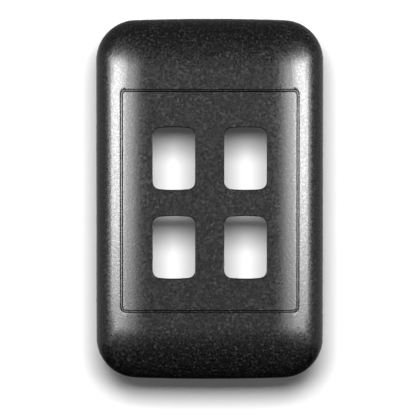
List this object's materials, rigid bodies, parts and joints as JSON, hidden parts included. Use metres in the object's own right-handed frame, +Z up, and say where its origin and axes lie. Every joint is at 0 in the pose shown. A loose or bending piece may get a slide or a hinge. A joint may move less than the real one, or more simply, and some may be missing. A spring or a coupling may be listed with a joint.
{
  "type": "switch plate",
  "caption": "Upright wall switch plate without mechanisms: a rocker grid plate screwed to the wall, with a rounded clip-on surround in charcoal plastic.",
  "frame": {"origin": "on the wall plane, midway between the two fixing screws, at the centre of the plate", "axes": "+Z up as installed, +X to the right seen from the room, +Y into the wall, so the front faces -Y"},
  "size_m": [0.076, 0.0283, 0.121],
  "materials": {
    "charcoal_plastic": "satin",
    "zinc_plated_steel": "satin"
  },
  "bodies": {
    "root": {"surround": "charcoal_plastic", "grid_plate": "charcoal_plastic", "mounting_screw_upper": "zinc_plated_steel", "mounting_screw_lower": "zinc_plated_steel"}
  },
  "joints": []
}
